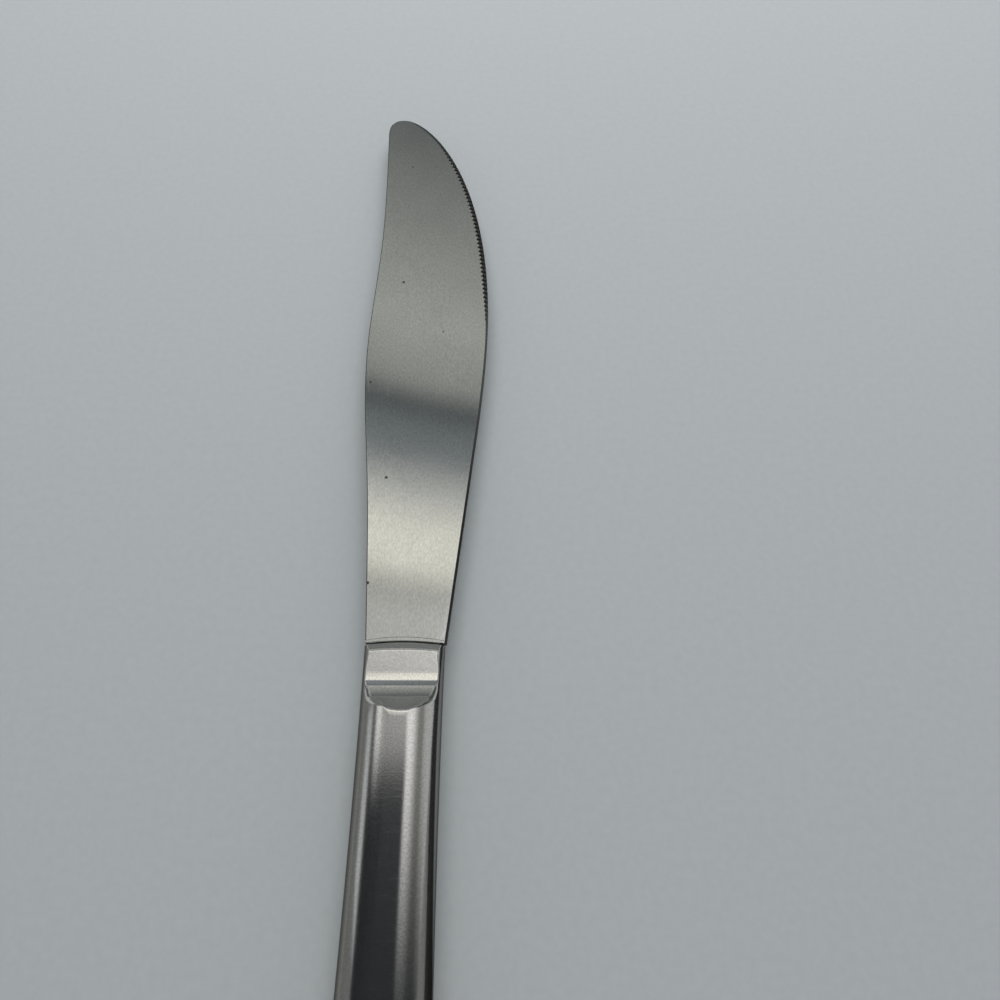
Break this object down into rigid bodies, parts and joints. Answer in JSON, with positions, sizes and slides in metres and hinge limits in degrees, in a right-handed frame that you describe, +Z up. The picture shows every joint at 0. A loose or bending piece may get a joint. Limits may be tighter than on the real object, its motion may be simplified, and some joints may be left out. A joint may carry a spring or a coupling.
{
  "type": "dinner knife",
  "caption": "Hollow-handle stainless dinner knife: round-tipped blade with finely toothed cutting edge, handle of brazed half-shells with a scooped neck and a raised panel.",
  "frame": {"origin": "on the flat back panel of the handle, on the knife's long axis, 60 mm behind the joint of blade and handle", "axes": "+Y along the knife to the tip, +X to the cutting edge, +Z up from the table the knife lies on"},
  "size_m": [0.0201, 0.2215, 0.007],
  "materials": {
    "blade_steel": "satin, fine lengthwise grain",
    "handle_steel": "satin, polished by use",
    "braze": "dull silver braze",
    "cement": "matte set filler"
  },
  "bodies": {
    "root": {"blade": "blade_steel", "upper_half_shell": "handle_steel", "lower_half_shell": "handle_steel", "seam_braze": "braze", "tang_cement": "cement"}
  },
  "joints": []
}
